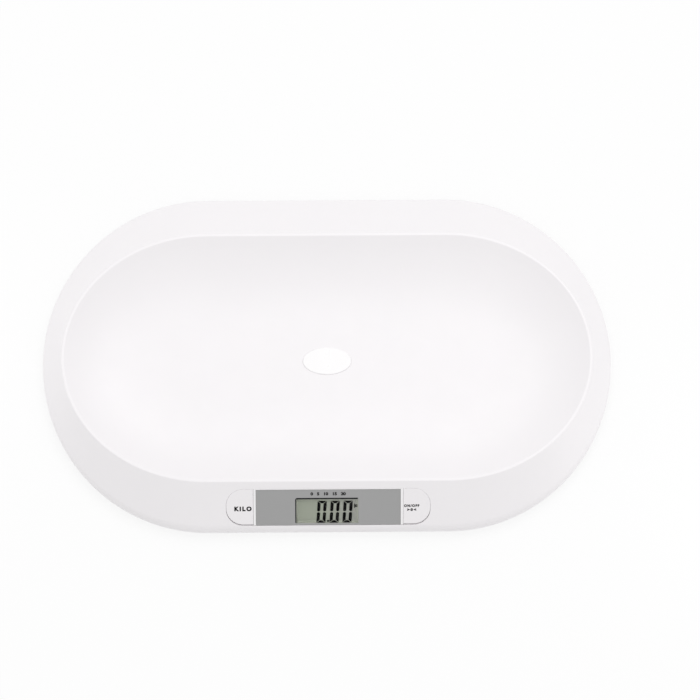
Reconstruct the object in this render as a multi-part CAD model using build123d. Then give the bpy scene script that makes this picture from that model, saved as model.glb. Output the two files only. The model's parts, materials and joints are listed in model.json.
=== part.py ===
from build123d import *
from math import atan2, cos, degrees, hypot, pi, radians, sin, tan
import os

# Baby weighing scale. Everything is in millimetres. X runs along the tray, Y from the display
# edge to the back, Z up. The origin is on the floor, under the middle of the tray.

cut_past = 1.0  # how far a cut runs past the face that it opens
root = 0.5  # how far an added form starts inside what carries it
same_place = 0.01  # edges nearer than this are the same edge

# ------------------------------------------------------------------ tray shell
body_length = 550.0
body_width = 330.0
ridge_height = 44.0  # top of the rim above the floor
skirt_bottom = 6.0  # lower edge of the skirt above the floor
knee_height = 15.5  # where the upright edge turns into the sloping skirt
straight_half = 115.5  # half the straight stretch of each long side
ridge_inset_ends = 19.5  # from the outline to the outer edge of the rim, at the ends
ridge_inset_sides = 42.4  # the same along the long sides
rim_land = 2.4  # flat top of the rim
wall = 2.5
knee_radius = 11.0
bottom_edge_radius = 2.2
rim_outer_radius = 1.1
rim_inner_radius = 0.9
rim_solid_depth = 3.4  # the hollow under the skirt stops this far below the rim

dish_depth = 19.5
dish_floor_inset = 100.0  # from the rim to the level floor of the dish
dish_curve = 3.0  # how much steeper the dish is at the rim than at its floor
dish_steps = (0.0, 0.09, 0.22, 0.4, 0.64, 1.0)
dish_side_shift = 1.5  # the underside of the dish stands this much further out
shell_rib_depth = 3.0
shell_rib_width = 1.6
shell_rib_middle_xs = (60.0, 105.0)
shell_rib_end_inset = 60.0  # from the outline's end to the outermost ribs
shell_rib_side_inset = 113.0  # from the outline's side to the ribs along the tray
shell_rib_start = 45.0
shell_rib_reach_inset = 65.0  # from the outline's side to the ends of the ribs across the tray

# ------------------------------------------------------------------ middle cap
cap_length = 47.0
cap_width = 26.8
cap_thickness = 1.5
cap_recess = 0.8
cap_edge_radius = 0.6
cap_gap = 0.08

# ---------------------------------------------------------------- bottom cover
cover_inset = 1.0  # the cover lies this far above the skirt's lower edge
cover_thickness = 2.3
cover_gap = 0.4
cover_lip_height = 2.4
cover_lip_width = 1.6
cover_rib_height = 3.0
cover_rib_width = 1.4
cover_rib_foot_gap = 52.0  # from the ribs' ends to the feet's middles
cover_rib_ys = (-48.0, 60.0)
cover_rib_notch = (-54.0, -32.0)  # where the battery leads cross the ribs
label_recess_size = (70.0, 36.0)
label_recess_place = (-82.0, 8.0)
label_recess_depth = 0.3
label_recess_radius = 2.0

cover_screw_side_inset = 19.0  # from the outline's side to the screws of the long sides
cover_screw_side_back = 3.5  # those screws stand this far inside the straight stretch
cover_screw_end_inset = 21.5  # from the outline to the screws of the rounded ends
cover_screw_end_angle = radians(29.2)
cover_screw_shank = 2.9
cover_screw_head = 5.8
cover_screw_length = 11.0
shell_boss_diameter = 8.0
boss_hole_spare = 3.0  # depth of the boss's hole past the screw's end
screw_clearance = 0.05  # radial, in every screw hole
countersink_gap = 0.15
cross_length = 0.55  # of the cross in a screw's head, as shares of the head's diameter
cross_width = 0.14
cross_depth = 0.2
pan_rounding = 0.33  # of a round screw head, as a share of its height

# ------------------------------------------------------------------------ feet
foot_end_inset = 103.0  # from the outline's end to a foot's middle
foot_side_inset = 77.0  # the same from the outline's side
foot_disk_diameter = 40.0
foot_disk_bottom = 1.4
foot_cover_gap = 0.8  # between the disk's top and the cover
foot_shaft_diameter = 24.0
foot_bore_gap = 0.3
foot_bead = 0.7  # radial overlap of the snap bead over the bore's edge
foot_bead_height = 1.0
foot_bead_gap = 0.3
foot_post_diameter = 9.0
foot_travel = 0.4
foot_end_gap = 0.1  # left between the post and the load cell at full travel
foot_edge_radius = 1.2
foot_slit_floor = 0.5  # left on the disk under the slits between the snap fingers
foot_slit_gap = 0.5  # between the slits' ends and the post
pad_diameter = 34.0
pad_thickness = 3.0
pad_gap = 0.1
pad_edge_radius = 0.6
pad_groove_diameter = 20.0
pad_groove_width = 2.0
pad_groove_depth = 0.6

cell_size = 34.0
cell_thickness = 2.0
cell_seat_height = 5.3  # of the load cell above the cover's inner face
cell_gap = 0.25
cell_tongue = 14.0
cell_slot = 1.6
cell_slot_margin = 5.0
cell_corner_radius = 2.0
collar_wall = 2.2
collar_web_width = 2.0
collar_bore = 30.0
collar_lip_drop = 0.2
bracket_thickness = 1.8
bracket_opening = 24.0
bracket_screw_offset = 24.5
bracket_ear_width = 8.0
bracket_boss_diameter = 6.4
small_screw_shank = 2.2
small_screw_head = 4.4
small_screw_head_height = 1.5
small_screw_length = 7.0
small_screw_end_gap = 0.2

# ---------------------------------------------------------------- display area
panel_drop = 0.95  # middle of the display area below the middle of the slope
pill_length = 195.6
pill_height = 37.9
pill_radius = 16.5
frame_upper_gap = 0.12
frame_lower_gap = 0.45
frame_length = 143.2
frame_proud = 0.35
frame_edge_radius = 0.3
frame_plate_bottom = -1.6
frame_wall = 0.85
frame_end_wall = 1.4
frame_lip = 0.45  # of the frame above the overlay's upper edge
frame_brim_width = 3.4
frame_brim_thickness = 1.6
stake_diameter = 1.8
stake_head_diameter = 3.2
stake_head_height = 0.9
stake_xs = (18.0, 55.0)

overlay_length = 138.6
overlay_thickness = 0.4
overlay_sink = 0.1
overlay_gap = 0.1
window_length = 60.0
window_height = 25.4
window_offset_x = -1.2
window_bottom_margin = 1.5
window_radius = 1.4
lens_thickness = 0.6
lens_margin = 2.4
lens_lower_margin = 0.45
view_margin = 0.3  # the opening behind the lens is this much larger than the window

glass_thickness = 0.7
glass_length = 68.0
glass_top_reach = 13.0  # upper edge of the front glass above the slope's middle
glass_front_gap = 0.1
glass_contact_ledge = 3.0
glass_layer = 0.1  # liquid layer between the two glasses, where the digits show
glass_side_gap = 0.25
digit_height = 22.65
digit_width = 8.8
digit_upright_stroke = 3.0
digit_level_stroke = 2.5
digit_slant = radians(3.5)
digit_bottom = -18.15
digit_centres = (-6.4, 6.1, 18.5)
digit_gap = 0.35
digit_taper = 0.8  # height of the pointed ends at a digit's middle
point_diameter = 2.3
point_place = (-0.25, -16.4)
mark_size = (2.2, 4.4)
mark_place = (26.2, -0.8)
mark_stroke = 0.8
mark_gap = 0.6
mark_ring_share = 0.6  # height of the ring as a share of the bar's

holder_wall = 1.6
strip_width = 2.2
strip_gap = 0.15

# --------------------------------------------------------------- control board
board_depth = 10.6  # front face of the board below the skirt's surface
board_thickness = 1.6
board_length = 184.0
board_height = 30.0
board_middle = 2.0  # middle of the board above the slope's middle
board_boss_x = 58.0
board_boss_ys = (-9.0, 13.0)
board_boss_diameter = 5.0
board_screw_grip = 6.0
board_corner_radius = 2.0
blob_diameter = 10.0
blob_height = 1.6
blob_rounding = 0.8  # share of the blob's height
blob_place = (6.0, 4.0)
chip_size = (6.0, 5.0, 1.6)
chip_place = (-10.0, 6.0)
capacitor_diameter = 5.0
capacitor_height = 5.4
capacitor_places = ((-48.0, 8.0), (48.0, 8.0))
can_edge_radius = 0.4
resistor_size = (2.0, 1.2, 0.6)
resistor_pitch = 4.0
resistor_count = 7
resistor_row_y = 13.0

# --------------------------------------------------------------------- buttons
button_gap = 0.18
button_lower_gap = 1.3  # along the lower edge of the display area
button_travel = 0.5
button_flange = 1.2  # reach of the flange behind the skirt
button_flange_gap = 0.2
button_flange_thickness = 1.2
button_skin = 1.6
button_rim = 1.8
button_edge_radius = 0.3
button_x = 84.6
stem_diameter = 6.0
stem_clearance = 0.08
guide_gap = 0.4  # between a pressed key's flange and the guide
guide_thickness = 1.1
guide_half_height = 9.0
guide_end = 93.0
switch_size = 6.0
switch_height = 3.5
plunger_diameter = 3.4
plunger_clearance = 0.06
plunger_spare = 0.3  # of the plunger still out of its switch when the key is pressed
plunger_depth = 1.2
plunger_floor_gap = 0.9  # under the plunger when the key is pressed

# ------------------------------------------------------------- battery housing
battery_diameter = 10.4
battery_length = 44.5
battery_nub_length = 0.9
battery_nub_diameter = 3.8
battery_count = 4
battery_pitch = 11.1
battery_floor_gap = 0.4
bay_centre_y = 10.0
bay_side_gap = 0.35
bay_wall = 1.5
bay_roof = 1.3
bay_top_gap = 0.4
contact_thickness = 0.4
contact_height = 8.6
contact_width = 8.0
contact_tab = 2.0
contact_tab_width = 3.0
contact_tab_rise = 1.4  # of the solder tab above the contact's lower edge
contact_slot_gap = 0.1
spring_length = 3.3
spring_strip = 0.35
spring_width = 4.5
spring_foot = 3.6
spring_knee = 2.4
door_margin = 3.0
door_thickness = 1.8
door_gap = 0.3
door_seat_gap = 0.1
door_pad_height = 1.3
door_pad_width = 1.8
door_tab_x = 15.0
door_tab_width = 9.0
door_tab_reach = 2.4
door_tab_root = 2.2
door_tab_thickness = 1.2
door_tab_clearance = 0.3
door_latch_width = 12.0
door_latch_thickness = 1.0
door_latch_height = 2.2
door_latch_gap = 0.4
door_grip_radius = 8.0
door_grip_width = 16.0
door_grip_depth = 1.3
door_groove_count = 5
door_groove_pitch = 2.4
door_groove_width = 0.8
door_groove_depth = 0.4
door_groove_length = 18.0
door_groove_start = 6.0  # from the door's back edge to the first groove

# ----------------------------------------------------------------------- leads
cell_lead_diameter = 2.0
battery_lead_diameter = 1.4
lead_floor_gap = 0.2
lead_largest_radius = 14.0
lead_radius_share = 0.45  # of an arc's shorter run
cell_lead_straight = 10.0  # the first run of a lead, straight out of its load cell
battery_lead_straight = 5.0  # the same from a contact's tab
cell_lead_pad_xs = {"back": 44.0, "front": 58.0}  # where the leads meet the board
cell_lead_pad_y = 6.0
battery_lead_pad_y = 4.0
clip_gap = 0.15
clip_post = (1.4, 4.0)
clip_height = 3.4

# ----------------------------------------------------------- derived positions
half_length = body_length / 2
half_width = body_width / 2
rise = ridge_height - knee_height
rim_half_length = half_length - ridge_inset_ends
rim_half_width = half_width - ridge_inset_sides
dish_half_length = rim_half_length - rim_land
dish_half_width = rim_half_width - rim_land
dish_floor = ridge_height - dish_depth
side_slope = atan2(rise, ridge_inset_sides)
end_slope = atan2(rise, ridge_inset_ends)
shell_rib_xs = (*shell_rib_middle_xs, half_length - shell_rib_end_inset)
shell_rib_y = half_width - shell_rib_side_inset
shell_rib_reach = half_width - shell_rib_reach_inset

cover_bottom = skirt_bottom + cover_inset
cover_top = cover_bottom + cover_thickness
cover_half_length = half_length - wall - cover_gap
cover_half_width = half_width - wall - cover_gap
side_screw_x = straight_half - cover_screw_side_back
side_screw_y = half_width - cover_screw_side_inset
end_screw_reach = half_length - straight_half - cover_screw_end_inset
end_screw_x = straight_half + end_screw_reach * cos(cover_screw_end_angle)
end_screw_y = (half_width - cover_screw_end_inset) * sin(cover_screw_end_angle)
cover_screw_places = (
    (side_screw_x, side_screw_y),
    (side_screw_x, -side_screw_y),
    (end_screw_x, end_screw_y),
    (end_screw_x, -end_screw_y),
)
screw_end = cover_bottom + countersink_gap + cover_screw_length

foot_x = half_length - foot_end_inset
foot_y = half_width - foot_side_inset
foot_places = {
    "front_left": (-foot_x, -foot_y),
    "front_right": (foot_x, -foot_y),
    "back_left": (-foot_x, foot_y),
    "back_right": (foot_x, foot_y),
}
cell_bottom = cover_top + cell_seat_height
cell_top = cell_bottom + cell_thickness

# Local frame of the display: x along the scale, y up the slope, z out of the skirt.
slope_middle = (0, -(half_width - ridge_inset_sides / 2), knee_height + rise / 2)
display = Plane(origin=slope_middle, x_dir=(1, 0, 0), z_dir=(0, -sin(side_slope), cos(side_slope)))
panel_y = -panel_drop
frame_high = panel_y + pill_height / 2 - frame_upper_gap
frame_low = panel_y - pill_height / 2 + frame_lower_gap
overlay_high = frame_high - frame_lip - overlay_gap
overlay_low = frame_low + overlay_gap
overlay_top = -overlay_sink
overlay_bottom = overlay_top - overlay_thickness
lens_bottom = overlay_bottom - lens_thickness
window_y = overlay_low + window_bottom_margin + window_height / 2
front_glass_top = frame_plate_bottom - glass_front_gap
front_glass_bottom = front_glass_top - glass_thickness
rear_glass_top = front_glass_bottom - glass_layer
rear_glass_bottom = rear_glass_top - glass_thickness
glass_low = frame_low + frame_wall + glass_side_gap
board_front = -board_depth
board_back = board_front - board_thickness
flange_top = -wall - button_flange_gap
flange_bottom = flange_top - button_flange_thickness
guide_top = flange_bottom - button_travel - guide_gap
plunger_rise = button_travel + plunger_spare
switch_bore_depth = plunger_depth + button_travel + plunger_floor_gap

bay_length = battery_length + 2 * contact_thickness + spring_length
bay_width = battery_pitch * (battery_count - 1) + battery_diameter + 2 * bay_side_gap
bay_front = bay_centre_y - bay_width / 2
bay_back = bay_centre_y + bay_width / 2
door_length = bay_length + 2 * door_margin
door_width = bay_width + 2 * door_margin
door_front = bay_centre_y - door_width / 2
door_back = bay_centre_y + door_width / 2
door_top = cover_bottom + door_thickness
door_seat = door_top + door_seat_gap
pad_top = cover_top + door_pad_height
battery_axis_z = door_top + battery_floor_gap + battery_diameter / 2
bay_ceiling = battery_axis_z + battery_diameter / 2 + bay_top_gap
bay_roof_top = bay_ceiling + bay_roof
tab_bottom = battery_axis_z - contact_height / 2 + contact_tab_rise


# -------------------------------------------------------------- shared helpers
def oval(half_x, half_y, z):
    """A level face with straight long sides and half-elliptical ends."""
    end = half_x - straight_half
    right = (straight_half, 0)
    left = (-straight_half, 0)
    outline = [
        Line((-straight_half, -half_y), (straight_half, -half_y)),
        EllipticalCenterArc(right, end, half_y, start_angle=-90, arc_size=90),
        EllipticalCenterArc(right, end, half_y, start_angle=0, arc_size=90),
        Line((straight_half, half_y), (-straight_half, half_y)),
        EllipticalCenterArc(left, end, half_y, start_angle=90, arc_size=90),
        EllipticalCenterArc(left, end, half_y, start_angle=180, arc_size=90),
    ]
    return Pos(0, 0, z) * make_face(outline)


def skirt_section(z, ends_inset=0.0, sides_inset=0.0):
    """The oval that the sloping skirt makes at height z, or one inset from it."""
    share = (z - knee_height) / rise
    half_x = half_length - ridge_inset_ends * share - ends_inset
    half_y = half_width - ridge_inset_sides * share - sides_inset
    return oval(half_x, half_y, z)


def dish_form(outward=0.0, down=0.0):
    """Everything inside the dish, or inside a copy of it moved outward and down."""
    sections = []
    for share in dish_steps:
        inset = share * dish_floor_inset - outward
        drop = dish_depth * (1 - (1 - share) ** dish_curve) + down
        section = oval(dish_half_length - inset, dish_half_width - inset, ridge_height - drop)
        sections.append(section)
    return loft(sections)


def block(x_range, y_range, z_range):
    """A box between pairs of coordinates."""
    size = [high - low for low, high in (x_range, y_range, z_range)]
    middle = [(high + low) / 2 for low, high in (x_range, y_range, z_range)]
    return Pos(*middle) * Box(*size)


def post(x, y, diameter, z_range):
    """An upright round post between two heights."""
    low, high = z_range
    return Pos(x, y, (low + high) / 2) * Cylinder(diameter / 2, high - low)


def slab(sketch, z_range):
    """A sketch drawn on the ground, extruded between two heights."""
    low, high = z_range
    return Pos(0, 0, low) * extrude(sketch, high - low)


def mirrored_places(places):
    """Each place and its mirror image to the left."""
    return [(sign * x, y) for x, y in places for sign in (1, -1)]


def group(solids):
    """Separate solids kept together in one node."""
    return Compound([piece.solid() for piece in solids])


def pan_screw(shank, head, head_height, length):
    """A round-headed screw with its head's underside at z = 0, pointing down."""
    body = post(0, 0, head, (0, head_height)) + post(0, 0, shank, (-length, 0))
    body = fillet(body.faces().sort_by(Axis.Z)[-1].edges(), head_height * pan_rounding)
    return body - cross_recess(head, head_height)


def cross_recess(head, top):
    """The cross in a screw's head, from the top down."""
    arm = head * cross_length
    thin = head * cross_width
    reach = (top - head * cross_depth, top + cut_past)
    bar = block((-arm / 2, arm / 2), (-thin / 2, thin / 2), reach)
    return bar + Rot(0, 0, 90) * bar


def lead_path(points):
    """Straight runs joined by tangent arcs, each as large as its runs allow."""
    places = [Vector(*point) for point in points]
    radii = []
    for before, here, after in zip(places, places[1:], places[2:]):
        into = here - before
        out = after - here
        half_turn = radians(into.get_angle(out)) / 2
        largest = lead_radius_share * min(into.length, out.length) / tan(half_turn)
        radii.append(min(largest, lead_largest_radius))
    return FilletPolyline(*points, radius=radii)


def lead(points, diameter):
    """A round lead along a path."""
    path = lead_path(points)
    start = Plane(origin=path @ 0, z_dir=path % 0)
    return sweep(start * Circle(diameter / 2), path=path)


# ------------------------------------------------------------------- top shell
dish = dish_form()


def outer_form():
    """The shell's outside, still solid."""
    band = extrude(oval(half_length, half_width, skirt_bottom), knee_height - skirt_bottom)
    slope = loft([skirt_section(knee_height), skirt_section(ridge_height)], ruled=True)
    body = band + slope
    knee = [e for e in body.edges() if abs(e.center().Z - knee_height) < same_place]
    body = fillet([e for e in knee if abs(e.bounding_box().size.Z) < same_place], knee_radius)
    return fillet(body.faces().sort_by(Axis.Z)[0].edges(), bottom_edge_radius)


outside = outer_form()


def shell_hollow():
    """The room under the shell, between the skirt and the underside of the dish."""
    low = skirt_bottom - cut_past
    high = ridge_height - rim_solid_depth
    ends = wall / sin(end_slope)
    sides = wall / sin(side_slope)
    sloping = loft([skirt_section(low, ends, sides), skirt_section(high, ends, sides)], ruled=True)
    upright = extrude(oval(half_length - wall, half_width - wall, low), high - low)
    return (sloping & upright) - dish_form(dish_side_shift, wall)


def shell_bosses():
    """Screw bosses from the cover's inner face up to the shell."""
    bosses = Part()
    for x, y in mirrored_places(cover_screw_places):
        bosses += post(x, y, shell_boss_diameter, (cover_top, ridge_height))
    return bosses & (outside - dish)


def shell_ribs():
    """Thin ribs that follow the underside of the dish."""
    depth = (skirt_bottom, ridge_height)
    half = shell_rib_width / 2
    plates = Part()
    for x in shell_rib_xs:
        for side in (1, -1):
            plates += block((side * x - half, side * x + half), (-shell_rib_reach, shell_rib_reach), depth)
    end = max(shell_rib_xs)
    for y in (shell_rib_y, -shell_rib_y):
        plates += block((shell_rib_start, end), (y - half, y + half), depth)
        plates += block((-end, -shell_rib_start), (y - half, y + half), depth)
    return (plates & dish_form(dish_side_shift, wall + shell_rib_depth)) - dish


def pill(grow=0.0):
    """Outline of the display area on the skirt, in the display's frame."""
    size = (pill_length + 2 * grow, pill_height + 2 * grow)
    return Pos(0, panel_y) * RectangleRounded(*size, pill_radius + grow)


def stake_places():
    """Where the shell's stakes pass through the display frame's brim."""
    reach = pill_height / 2 + frame_brim_width / 2
    xs = [sign * x for x in stake_xs for sign in (1, -1)]
    return [(x, panel_y + sign * reach) for x in xs for sign in (1, -1)]


def stakes(grow=0.0, heads=True):
    """Melted stakes that hold the display frame, on the inside of the skirt."""
    brim_back = -wall - frame_brim_thickness
    pins = Part()
    for x, y in stake_places():
        pins += post(x, y, stake_diameter + 2 * grow, (brim_back, -wall / 2))
        if heads:
            pins += post(x, y, stake_head_diameter, (brim_back - stake_head_height, brim_back))
    return pins


def top_shell():
    body = outside - dish
    rim = [e for e in body.edges() if abs(e.center().Z - ridge_height) < same_place]
    rim = [e for e in rim if e.bounding_box().size.Z < same_place]
    outer_rim = [e for e in rim if on_outer_rim(e)]
    inner_rim = [e for e in rim if not on_outer_rim(e)]
    body = fillet(outer_rim, rim_outer_radius)
    body = fillet(matching(body, inner_rim), rim_inner_radius)
    body -= shell_hollow()
    body += shell_ribs()
    body += shell_bosses()
    for x, y in mirrored_places(cover_screw_places):
        hole = cover_screw_shank + 2 * screw_clearance
        body -= post(x, y, hole, (cover_top - cut_past, screw_end + boss_hole_spare))
    body -= display.location * slab(pill(), (-wall - cut_past, wall))
    body += display.location * stakes()
    recess = Ellipse(cap_length / 2 + cap_gap, cap_width / 2 + cap_gap)
    body -= slab(recess, (dish_floor - cap_recess, dish_floor + cut_past))
    return body


def on_outer_rim(edge):
    """Whether an edge of the rim's flat top is its outer one."""
    middle = edge @ 0.5
    across = (rim_half_width + dish_half_width) / 2
    along = (rim_half_length + dish_half_length) / 2 - straight_half
    past_straight = max(abs(middle.X) - straight_half, 0.0)
    return hypot(past_straight / along, middle.Y / across) > 1


def matching(body, edges):
    """The edges of a body that lie where the given ones were."""
    middles = [edge @ 0.5 for edge in edges]
    return [e for e in body.edges() if any(((e @ 0.5) - m).length < same_place for m in middles)]


# ------------------------------------------------------------------ middle cap
def centre_cap():
    low = dish_floor - cap_recess
    body = slab(Ellipse(cap_length / 2, cap_width / 2), (low, low + cap_thickness))
    return fillet(body.faces().sort_by(Axis.Z)[-1].edges(), cap_edge_radius)


# ---------------------------------------------------------------- bottom cover
def square(size, place, z_range):
    """An upright square prism about a place."""
    x, y = place
    half = size / 2
    return block((x - half, x + half), (y - half, y + half), z_range)


def foot_mount(place):
    """What the cover carries at one foot: a collar, a pocket and two bosses."""
    x, y = place
    outer = cell_size + 2 * cell_gap + 2 * collar_wall
    body = square(outer, place, (cover_top, cell_top - collar_lip_drop))
    for side in (1, -1):
        at_y = y + side * bracket_screw_offset
        body += post(x, at_y, bracket_boss_diameter, (cover_top, cell_top))
        web = (min(y, at_y), max(y, at_y))
        half_web = collar_web_width / 2
        body += block((x - half_web, x + half_web), web, (cover_top, cell_bottom))
    body -= square(cell_size + 2 * cell_gap, place, (cell_bottom, cell_top + cut_past))
    body -= square(collar_bore, place, (cover_top, cell_top))
    inward = -1 if x > 0 else 1
    notch = cell_lead_diameter + 2 * clip_gap
    notch_x = sorted((x, x + inward * outer))
    body -= block(notch_x, (y - notch / 2, y + notch / 2), (cell_bottom, cell_top + cut_past))
    for side in (1, -1):
        hole = small_screw_shank + 2 * screw_clearance
        hole_end = cell_top + bracket_thickness - small_screw_length - small_screw_end_gap
        reach = (hole_end, cell_top + cut_past)
        body -= post(x, y + side * bracket_screw_offset, hole, reach)
    return body


def battery_bay():
    """Walls and roof of the battery housing, with the pad that the door closes on."""
    pad_half_x = door_length / 2 + door_gap + door_pad_width
    pad_y = (door_front - door_gap - door_pad_width, door_back + door_gap + door_pad_width)
    body = block((-pad_half_x, pad_half_x), pad_y, (cover_top - root, pad_top))
    outer_x = bay_length / 2 + bay_wall
    outer_y = (bay_front - bay_wall, bay_back + bay_wall)
    return body + block((-outer_x, outer_x), outer_y, (cover_top, bay_roof_top))


def bay_cuts():
    """The room inside the battery housing, the door's seat and the slots for its tabs."""
    half_x = bay_length / 2
    room = block((-half_x, half_x), (bay_front, bay_back), (cover_bottom - cut_past, bay_ceiling))
    seat_x = door_length / 2 + door_gap
    seat_y = (door_front - door_gap, door_back + door_gap)
    room += block((-seat_x, seat_x), seat_y, (cover_bottom - cut_past, door_seat))
    for side in (1, -1):
        half_tab = door_tab_width / 2 + door_tab_clearance
        tab_x = (side * door_tab_x - half_tab, side * door_tab_x + half_tab)
        swing = hypot(door_tab_reach, door_thickness + door_tab_thickness) + door_tab_clearance
        tab_y = (door_front - door_tab_reach - door_tab_clearance, door_front + swing)
        room += block(tab_x, tab_y, (door_top - door_tab_clearance, cover_bottom + swing))
    for y in (battery_y(0), battery_y(battery_count - 1)):
        tab = contact_tab_width / 2 + contact_slot_gap
        slot_z = (tab_bottom - contact_slot_gap, tab_bottom + contact_thickness + contact_slot_gap)
        room += block((-half_x - bay_wall - cut_past, -half_x + cut_past), (y - tab, y + tab), slot_z)
    grip = Rot(0, 90, 0) * Cylinder(door_grip_radius, door_grip_width)
    grip_z = cover_bottom - door_grip_radius + door_grip_depth
    return room + Pos(0, door_back + door_gap, grip_z) * grip


def battery_y(index):
    """Y of one battery's axis."""
    return bay_front + bay_side_gap + battery_diameter / 2 + index * battery_pitch


def lead_clip(place, heading, diameter):
    """Two small posts on the cover, one each side of a lead."""
    thick, long = clip_post
    offset = diameter / 2 + clip_gap + thick / 2
    pair = Part()
    for side in (1, -1):
        low = cover_top - root
        across = (side * offset - thick / 2, side * offset + thick / 2)
        pair += block((-long / 2, long / 2), across, (low, cover_top + clip_height))
    return Pos(place[0], place[1], 0) * Rot(0, 0, heading) * pair


def clips_along(points, diameter, runs):
    """Clips at the middle of the named runs of a lead."""
    made = Part()
    for run in runs:
        start, end = Vector(*points[run]), Vector(*points[run + 1])
        middle = (start + end) * 0.5
        heading = degrees(atan2(end.Y - start.Y, end.X - start.X))
        made += lead_clip((middle.X, middle.Y), heading, diameter)
    return made


def bottom_cover():
    plate = oval(cover_half_length, cover_half_width, cover_bottom)
    body = extrude(plate, cover_thickness)
    lip_in_x = cover_half_length - cover_lip_width
    lip_in_y = cover_half_width - cover_lip_width
    lip = extrude(oval(cover_half_length, cover_half_width, cover_top), cover_lip_height)
    lip -= extrude(oval(lip_in_x, lip_in_y, cover_top), cover_lip_height)
    body += lip
    rib_z = (cover_top, cover_top + cover_rib_height)
    rib_end = foot_x - cover_rib_foot_gap
    for y in cover_rib_ys:
        rib_y = (y - cover_rib_width / 2, y + cover_rib_width / 2)
        body += block((-rib_end, cover_rib_notch[0]), rib_y, rib_z)
        body += block((cover_rib_notch[1], rib_end), rib_y, rib_z)
    for place in foot_places.values():
        body += foot_mount(place)
    body += battery_bay()
    for name, points in lead_routes.items():
        diameter = cell_lead_diameter if "cell" in name else battery_lead_diameter
        body += clips_along(points, diameter, lead_clip_runs[name])
    for x, y in foot_places.values():
        bore = foot_shaft_diameter + 2 * foot_bore_gap
        body -= post(x, y, bore, (cover_bottom - cut_past, cell_bottom))
    for x, y in mirrored_places(cover_screw_places):
        body -= cover_screw_room(x, y)
    body -= bay_cuts()
    label_x, label_y = label_recess_place
    label_long, label_wide = label_recess_size
    label = Pos(label_x, label_y) * RectangleRounded(label_long, label_wide, label_recess_radius)
    return body - slab(label, (cover_bottom - cut_past, cover_bottom + label_recess_depth))


def cover_screw_form(grow):
    """A countersunk screw pointing up with its head's face at z = 0."""
    head = cover_screw_head / 2 + grow
    shank = cover_screw_shank / 2 + (screw_clearance if grow else 0.0)
    depth = head - shank
    cone = Pos(0, 0, depth / 2) * Cone(head, shank, depth)
    return cone + post(0, 0, 2 * shank, (depth, cover_screw_length))


def cover_screw_room(x, y):
    """The countersunk hole for one cover screw."""
    below = post(0, 0, cover_screw_head + 2 * countersink_gap, (-1, 0))
    return Pos(x, y, cover_bottom) * (cover_screw_form(countersink_gap) + below)


def cover_screws():
    screw = cover_screw_form(0.0) - Rot(180, 0, 0) * cross_recess(cover_screw_head, 0)
    places = mirrored_places(cover_screw_places)
    return group([Pos(x, y, cover_bottom + countersink_gap) * screw for x, y in places])


# ------------------------------------------------------------------------ feet
def foot_cup(place):
    x, y = place
    disk_top = cover_bottom - foot_cover_gap
    post_top = cell_bottom - foot_travel - foot_end_gap
    bead_low = cover_top + foot_bead_gap
    bead_top = bead_low + foot_bead_height
    disk = post(0, 0, foot_disk_diameter, (foot_disk_bottom, disk_top))
    disk = fillet(disk.edges().filter_by(GeomType.CIRCLE), foot_edge_radius)
    body = disk + post(0, 0, foot_shaft_diameter, (disk_top - root, bead_top))
    bead_diameter = foot_shaft_diameter + 2 * foot_bore_gap + 2 * foot_bead
    body += post(0, 0, bead_diameter, (bead_low, bead_top))
    well = foot_shaft_diameter - 2 * collar_wall
    body -= post(0, 0, well, (disk_top, bead_top + cut_past))
    body += post(0, 0, foot_post_diameter, (disk_top - root, post_top))
    slit = foot_bead / 2 + foot_bore_gap
    for turn in (0, 90):
        half = foot_disk_diameter
        cut = block((-half, half), (-slit, slit), (disk_top + foot_slit_floor, bead_top + cut_past))
        cut -= post(0, 0, foot_post_diameter + 2 * foot_slit_gap, (0, post_top))
        body -= Rot(0, 0, turn) * cut
    pad_room = post(0, 0, pad_diameter + 2 * pad_gap, (foot_disk_bottom - cut_past, pad_thickness))
    return Pos(x, y, 0) * (body - pad_room)


def foot_pad(place):
    x, y = place
    body = post(0, 0, pad_diameter, (0, pad_thickness))
    body = fillet(body.faces().sort_by(Axis.Z)[0].edges(), pad_edge_radius)
    groove = post(0, 0, pad_groove_diameter + pad_groove_width, (-1, pad_groove_depth))
    groove -= post(0, 0, pad_groove_diameter - pad_groove_width, (-1, pad_groove_depth))
    return Pos(x, y, 0) * (body - groove)


def load_cell(place):
    """A flat steel cell: a frame with a tongue that the foot's post presses on."""
    x, y = place
    body = square(cell_size, (0, 0), (cell_bottom, cell_top))
    body = fillet(body.edges().filter_by(Axis.Z), cell_corner_radius)
    reach = cell_size / 2 - cell_slot_margin
    half_tongue = cell_tongue / 2
    thick = (cell_bottom - cut_past, cell_top + cut_past)
    for side in (1, -1):
        slot_y = sorted((side * half_tongue, side * (half_tongue + cell_slot)))
        body -= block((-reach, reach), slot_y, thick)
    body -= block((reach - cell_slot, reach), (-half_tongue, half_tongue), thick)
    return Pos(x, y, 0) * body


def cell_bracket(place):
    """The clamp that holds one load cell down in its pocket."""
    x, y = place
    outer = cell_size + 2 * cell_gap + 2 * collar_wall
    z_range = (cell_top, cell_top + bracket_thickness)
    half_ear = bracket_ear_width / 2
    ear_end = bracket_screw_offset + half_ear
    body = square(outer, (0, 0), z_range) + block((-half_ear, half_ear), (-ear_end, ear_end), z_range)
    through = (cell_top - cut_past, cell_top + bracket_thickness + cut_past)
    body -= square(bracket_opening, (0, 0), through)
    hole = small_screw_shank + 2 * screw_clearance
    for side in (1, -1):
        body -= post(0, side * bracket_screw_offset, hole, through)
    return Pos(x, y, 0) * body


def bracket_screws():
    screw = pan_screw(
        small_screw_shank, small_screw_head, small_screw_head_height, small_screw_length
    )
    top = cell_top + bracket_thickness
    made = []
    for x, y in foot_places.values():
        for side in (1, -1):
            made.append(Pos(x, y + side * bracket_screw_offset, top) * screw)
    return group(made)


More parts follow.
